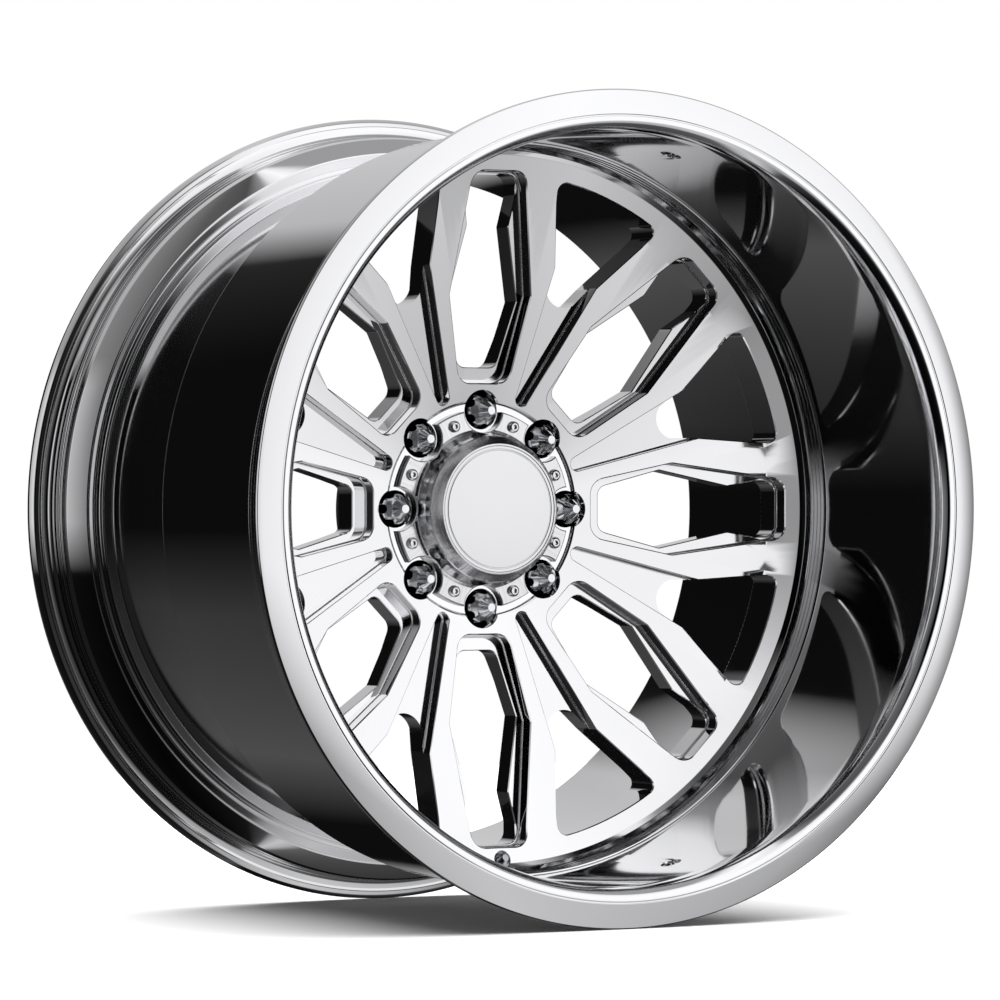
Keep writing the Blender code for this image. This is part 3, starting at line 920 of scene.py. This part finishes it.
def cap_profile():
    """Closed section of the cap: flat face, bevel, short neck, flange, and the hollow behind."""
    floor_back_z, floor_z = CAP_FLOOR_Z
    recess_r = CAP_FACE_R - 1.6
    return rounded([
        (CAP_FACE_R - 1.2, CAP_TOP_Z, 0.2),
        (CAP_FACE_R, CAP_TOP_Z - 0.1, 0.4),
        (62.7, -9.4, 0.5),
        (63.3, -10.6, 0.3),
        (63.9, -17.0, 1.5),
        (66.6, CAP_FLANGE_Z + 1.6, 1.6),
        (69.2, CAP_FLANGE_Z, 1.0),
        (CAP_R - 1.2, CAP_FLANGE_Z, 0.4),
        (CAP_R, CAP_FLANGE_Z - 1.2, 0.4),
        (CAP_R, CAP_FLANGE_BACK_Z, 0.3),
        (CAP_RIM_R, CAP_FLANGE_BACK_Z, 0.4),
        (CAP_RIM_R, -41.0, 0.8),
        (CAP_WALL_R, -41.0, 0.8),
        (CAP_WALL_R, -9.0, 4.0),
        (53.0, floor_back_z, 0.5),
        (0.0, floor_back_z, 0.0),
        (0.0, floor_z, 0.0),
        (recess_r, floor_z, 0.2),
        (recess_r, CAP_TOP_Z, 0.1),
    ])


def make_cap_body(material):
    """The cap body, scalloped round the lug nuts and with a seat for each screw."""
    scallop = [
        (0, -12),
        (19.6, -12),
        (19.6, CAP_FLANGE_Z - 0.2),
        (NOTCH_R, CAP_FLANGE_Z - 0.9),
        (NOTCH_R, -42),
        (0, -42),
    ]
    screw_seat = [
        (0, -18),
        (5.0, -18),
        (5.0, -26.8),
        (SCREW_HOLE_R, -28.6),
        (SCREW_HOLE_R, -44),
        (0, -44),
    ]

    def scallops(bm, matrix):
        lathe(bm, scallop, 96, matrix @ shift(LUG_CIRCLE_R, 0, 0), closed=False)

    def notch_chamfers(bm, matrix):
        place = matrix @ shift(LUG_CIRCLE_R, 0, 0)
        cylinder(bm, NOTCH_R, CAP_FLANGE_Z - 1, CAP_FLANGE_Z + 1, place, 96, top_radius=NOTCH_R + 2.0)

    def screw_seats(bm, matrix):
        lathe(bm, screw_seat, 32, matrix @ shift(SCREW_CIRCLE_R, 0, 0), closed=False)

    mesh = carve(
        turned_mesh("cap_body", cap_profile(), 192),
        around(SPOKE_PAIRS, scallops),
        around(SPOKE_PAIRS, notch_chamfers),
        around(SPOKE_PAIRS, screw_seats, PITCH / 2),
    )
    piece("cap_body", mesh, material, ["centre_cap_body"])


def make_cap_plate(material):
    """The plain face plate, with one fine turned groove near its edge."""
    plate_r = CAP_FACE_R - 1.7
    face_z = CAP_TOP_Z - 0.35
    groove_z = CAP_TOP_Z - 0.95
    corners = [
        (0.0, face_z, 0.0),
        (plate_r - 4.2, face_z, 0.2),
        (plate_r - 3.7, groove_z, 0.2),
        (plate_r - 3.1, groove_z, 0.2),
        (plate_r - 2.6, face_z, 0.2),
        (plate_r - 0.5, face_z, 0.3),
        (plate_r, CAP_TOP_Z - 0.85, 0.2),
        (plate_r, PLATE_BACK_Z, 0.0),
        (0.0, PLATE_BACK_Z, 0.0),
    ]
    mesh = turned_mesh("cap_plate", rounded(corners, closed=False), 192, closed=False)
    piece("cap_plate", mesh, material, ["centre_cap_face"])


def make_cap_seal(material):
    """The sealing ring round the cap's rim, in the mouth of the hub bore."""
    angles = [math.radians(-24 * step) for step in range(15)]
    ring = [(63.6 + 0.85 * math.cos(a), -34.4 + 0.85 * math.sin(a)) for a in angles]
    mesh = turned_mesh("cap_seal", ring, 96)
    piece("cap_seal", mesh, material, ["cap_seal_ring"])


def hexagon(radius):
    """Corners of a hexagon, none of them on the x axis."""
    angles = [math.radians(30 + 60 * corner) for corner in range(6)]
    return [(radius * math.cos(a), radius * math.sin(a)) for a in angles]


def screw_mesh(seat):
    """Button-head screw with a hexagon socket, its head resting at height seat."""
    corners = [
        (0.0, seat + 3.2, 0.0),
        (3.3, seat + 3.2, 0.6),
        (4.9, seat + 2.1, 1.2),
        (5.2, seat + 0.5, 0.3),
        (5.0, seat, 0.1),
        (SCREW_SHANK_R, seat, 0.0),
        (SCREW_SHANK_R, seat - SCREW_LENGTH + 0.8, 0.0),
        (2.2, seat - SCREW_LENGTH, 0.0),
        (0.0, seat - SCREW_LENGTH, 0.0),
    ]
    mesh = turned_mesh("screw", rounded(corners, closed=False), 48, closed=False)
    drive = hexagon(2.2)
    layers = [
        (hexagon(2.7), lambda r: seat + 3.8),
        (drive, lambda r: seat + 2.9),
        (drive, lambda r: seat + 0.9),
    ]
    socket = bmesh.new()
    loft(socket, layers)
    return carve(mesh, socket)


def nut_mesh():
    """Closed conical-seat nut: pointed nose, six drive flutes with pointed run-outs."""
    corners = [
        (0.0, NUT_TIP_Z, 0.0),
        (3.7, NUT_TIP_Z, 0.5),
        (8.4, NUT_TIP_Z - 9.0, 1.0),
        (9.6, NUT_TIP_Z - 10.4, 0.8),
        (12.9, NUT_TIP_Z - 14.0, 1.5),
        (NUT_R, NUT_TIP_Z - 18.0, 4.0),
        (NUT_R, NUT_SEAT_Z + 6.6, 0.6),
        (8.4, NUT_SEAT_Z - 2.2, 0.3),
        (8.1, NUT_SEAT_Z - 2.6, 0.2),
        (NUT_BORE_R, NUT_SEAT_Z - 2.6, 0.0),
        (NUT_BORE_R, NUT_SEAT_Z + 30.0, 0.0),
        (0.0, NUT_SEAT_Z + 33.0, 0.0),
    ]
    mesh = turned_mesh("lug_nut", rounded(corners, closed=False, turn_step=6), 96, closed=False)

    def flute(bm, matrix):
        cylinder(bm, 6.2, NUT_SEAT_Z + 12, 30, matrix @ shift(NUT_R + 3.9, 0, 0), 48)

    return carve(mesh, around(6, flute))


def make_fasteners(screw_material, nut_material):
    """Eight cap screws, each turned a little further than the last, and eight lug nuts."""
    screw = screw_mesh(CAP_FLANGE_Z + GAP)
    nut = nut_mesh()
    for index in range(SPOKE_PAIRS):
        number = index + 1
        name = f"screw_{number}"
        place = turn((index + 0.5) * PITCH) @ shift(SCREW_CIRCLE_R, 0, 0) @ turn(index * 0.7)
        piece(name, screw.copy(), screw_material, [f"cap_screw_{number}"], place)
        name = f"nut_{number}_visual"
        place = turn(index * PITCH) @ shift(LUG_CIRCLE_R, 0, 0)
        nodes = [f"lug_nut_{number}"]
        piece(name, nut.copy(), nut_material, nodes, place, body=f"nut_{number}")


# ---------------------------------------------------------------------------------------------
# Tyre valve


def valve_place():
    """Wheel frame of the valve: +Z points out of the wheel along the stem."""
    lean = Matrix.Rotation(-VALVE_LEAN, 4, "Y")
    return turn(-math.pi / 2) @ shift(VALVE_R, 0, front_face(VALVE_R)) @ lean


def make_valve_cap(material):
    """The dust cap: a bevelled top and twelve grip grooves."""
    inner_r = 4.1
    bottom = VALVE_FRONT + 5.0
    corners = [
        (0.0, VALVE_TOP, 0.0),
        (3.0, VALVE_TOP - 0.1, 1.0),
        (5.2, VALVE_TOP - 1.9, 1.2),
        (VALVE_CAP_R, VALVE_TOP - 4.3, 0.6),
        (VALVE_CAP_R, VALVE_FRONT + 5.6, 0.5),
        (VALVE_CAP_R - 0.5, bottom, 0.2),
        (inner_r, bottom, 0.0),
        (inner_r, VALVE_TOP - 1.8, 0.0),
        (0.0, VALVE_TOP - 1.8, 0.0),
    ]

    def groove(bm, matrix):
        cylinder(bm, 1.3, VALVE_FRONT + 6.4, 20, matrix @ shift(VALVE_CAP_R + 0.6, 0, 0), 16)

    mesh = turned_mesh("valve_cap", rounded(corners, closed=False), 96, closed=False)
    mesh = carve(mesh, around(12, groove))
    place = valve_place()
    nodes = ["valve_cap"]
    piece("valve_cap_visual", mesh, material, nodes, place, body="valve_cap_body")


def make_valve_nut(material):
    """The round retaining nut on the front of the ring."""
    top = VALVE_FRONT + 4.6
    corners = [
        (VALVE_NUT_R - 0.5, top, 0.2),
        (VALVE_NUT_R, VALVE_FRONT + 4.0, 0.2),
        (VALVE_NUT_R, VALVE_FRONT + GAP, 0.2),
        (VALVE_HOLE_R, VALVE_FRONT + GAP, 0.0),
        (VALVE_HOLE_R, top, 0.0),
    ]
    mesh = turned_mesh("valve_nut", rounded(corners), 64)
    piece("valve_nut_visual", mesh, material, ["valve_nut"], valve_place())


def make_valve_stem(material):
    """The hollow stem with its head behind the ring."""
    mouth = VALVE_TOP - 2.4
    head = VALVE_REAR - 1.8
    end = VALVE_REAR - 4.0
    corners = [
        (VALVE_SHANK_R - 0.4, mouth, 0.2),
        (VALVE_SHANK_R, VALVE_TOP - 3.0, 0.2),
        (VALVE_SHANK_R, head, 0.3),
        (VALVE_HEAD_R, head, 0.4),
        (VALVE_HEAD_R, end, 0.8),
        (VALVE_BORE_R, end, 0.3),
        (VALVE_BORE_R, mouth, 0.2),
    ]
    mesh = turned_mesh("valve_stem", rounded(corners), 64)
    piece("valve_stem_visual", mesh, material, ["valve_stem"], valve_place())


def make_valve_seal(material):
    """The rubber washer between the stem's head and the ring."""
    corners = [
        (VALVE_HEAD_R, VALVE_REAR - GAP, 0.3),
        (VALVE_HEAD_R, VALVE_REAR - 1.5, 0.3),
        (VALVE_HOLE_R, VALVE_REAR - 1.5, 0.0),
        (VALVE_HOLE_R, VALVE_REAR - GAP, 0.0),
    ]
    mesh = turned_mesh("valve_seal", rounded(corners), 64)
    piece("valve_seal_visual", mesh, material, ["valve_seal"], valve_place())


def paint_valve_core(material):
    """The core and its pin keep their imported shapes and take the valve's metal."""
    for node in ("valve_core", "valve_core_pin"):
        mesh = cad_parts[node].data
        mesh.materials.clear()
        mesh.materials.append(material)


# ---------------------------------------------------------------------------------------------
# Studio


def make_floor():
    """A pale floor. The polished metal doesn't mirror it, so its tones come from the studio alone."""
    bm = bmesh.new()
    bmesh.ops.create_grid(bm, x_segments=1, y_segments=1, size=FLOOR_REACH)
    mesh = bpy.data.meshes.new("floor")
    bm.to_mesh(mesh)
    bm.free()
    floor = bpy.data.objects.new("floor", mesh)
    floor.location = (0, 0, -FLANGE_R * MM)
    floor.visible_glossy = False
    bpy.context.scene.collection.objects.link(floor)
    material, _, shader = shader_material("floor", (0.95, 0.95, 0.95), 0.9, 0.0)
    shader.inputs["Specular IOR Level"].default_value = 0.0
    mesh.materials.append(material)


def make_overhead_light():
    """A wide light above that whitens the floor and leaves a soft shadow at the tread."""
    data = bpy.data.lights.new("overhead", "AREA")
    data.shape = "RECTANGLE"
    data.size = OVERHEAD_SIZE
    data.size_y = OVERHEAD_SIZE
    data.energy = OVERHEAD_POWER
    light = bpy.data.objects.new("overhead", data)
    light.location = (0.3, 0.4, 3.2)
    light.visible_glossy = False
    bpy.context.scene.collection.objects.link(light)


def tone_ramp(tree, factor, tones):
    """A grey ramp over the compass, from display tones to light."""
    ramp_node = add_node(tree, "ShaderNodeValToRGB")
    stops = ramp_node.color_ramp.elements
    while len(stops) > 1:
        stops.remove(stops[-1])
    wrapped = list(tones) + [(180, tones[0][1])]
    for index, (degrees, tone) in enumerate(wrapped):
        place = (degrees + 180) / 360
        stop = stops[0] if index == 0 else stops.new(place)
        stop.position = place
        light = tone ** DISPLAY_GAMMA / METAL_REFLECTANCE
        stop.color = (light, light, light * 1.01, 1.0)
    tree.links.new(factor, ramp_node.inputs["Fac"])
    return ramp_node.outputs["Color"]


def make_world():
    """White to the eye, and a dark studio with a bank of soft light front right for the reflections."""
    world = bpy.data.worlds.new("studio")
    bpy.context.scene.world = world
    world.use_nodes = True
    tree = world.node_tree
    background = tree.nodes["Background"]
    coordinates = add_node(tree, "ShaderNodeTexCoord")
    split = add_node(tree, "ShaderNodeSeparateXYZ")
    tree.links.new(coordinates.outputs["Generated"], split.inputs["Vector"])
    flip = add_node(tree, "ShaderNodeMath", operation="MULTIPLY")
    flip.inputs[1].default_value = -1.0
    tree.links.new(split.outputs["Y"], flip.inputs[0])
    compass = add_node(tree, "ShaderNodeMath", operation="ARCTAN2")
    tree.links.new(split.outputs["X"], compass.inputs[0])
    tree.links.new(flip.outputs[0], compass.inputs[1])
    turn_part = ramp(tree, compass.outputs[0], -math.pi, math.pi, 0.0, 1.0)
    rise = add_node(tree, "ShaderNodeMath", operation="ARCSINE")
    tree.links.new(split.outputs["Z"], rise.inputs[0])
    colour = tone_ramp(tree, turn_part, LOW_TONES)
    for tones, (low, high) in zip((LEVEL_TONES, HIGH_TONES), LEVELS):
        blend = add_node(tree, "ShaderNodeMix", data_type="RGBA")
        part = ramp(tree, rise.outputs[0], math.radians(low), math.radians(high), 0.0, 1.0)
        tree.links.new(part, blend.inputs["Factor"])
        tree.links.new(colour, blend.inputs[MIX_A])
        tree.links.new(tone_ramp(tree, turn_part, tones), blend.inputs[MIX_B])
        colour = blend.outputs[MIX_RESULT]
    path = add_node(tree, "ShaderNodeLightPath")
    seen = add_node(tree, "ShaderNodeMix", data_type="RGBA")
    seen.inputs[MIX_B].default_value = (1.0, 1.0, 1.0, 1.0)
    tree.links.new(path.outputs["Is Camera Ray"], seen.inputs["Factor"])
    tree.links.new(colour, seen.inputs[MIX_A])
    tree.links.new(seen.outputs[MIX_RESULT], background.inputs["Color"])
    background.inputs["Strength"].default_value = 1.0
    bpy.context.scene.view_settings.view_transform = "Standard"


def make_camera():
    """A long lens level with the hub, well to the left of the dish's axis."""
    data = bpy.data.cameras.new("camera")
    data.lens = LENS
    data.sensor_width = SENSOR_WIDTH
    data.shift_y = CAMERA_SHIFT
    data.clip_end = 100.0
    camera = bpy.data.objects.new("camera", data)
    camera.location = CAMERA_PLACE
    camera.rotation_euler = (math.pi / 2, 0, CAMERA_TURN)
    bpy.context.scene.collection.objects.link(camera)
    bpy.context.scene.camera = camera


def main():
    """Every piece in its material, then the floor, light, world and camera."""
    mirror = polished_metal("polished forging", FORGING, roughness=0.035, haze=0.07)
    cap_metal = radial_brushed_metal("turned cap", MACHINED, roughness=0.16)
    plate_metal = brushed_metal("satin plate", MACHINED, 0.20, ACROSS, scale=300.0, strength=0.03)
    screw_metal = brushed_metal("screw steel", STEEL, 0.14, EVEN, scale=700.0, strength=0.05)
    nut_metal = polished_metal("dark chrome", CHROME, 0.04, 0.09, lines=1800.0, line_strength=0.02)
    valve_metal = brushed_metal("valve metal", NICKEL, 0.2, EVEN, scale=900.0, strength=0.08)
    valve_cap_metal = polished_metal("valve cap metal", DARK_CAP, roughness=0.08, haze=0.16)
    seal = rubber("seal rubber")
    weld = weld_material("weld metal")

    make_barrel(mirror)
    make_centre(mirror)
    make_weld(weld)
    make_cap_body(cap_metal)
    make_cap_plate(plate_metal)
    make_cap_seal(seal)
    make_fasteners(screw_metal, nut_metal)
    make_valve_cap(valve_cap_metal)
    make_valve_nut(valve_metal)
    make_valve_stem(valve_metal)
    make_valve_seal(seal)
    paint_valve_core(valve_metal)
    make_floor()
    make_overhead_light()
    make_world()
    make_camera()


main()
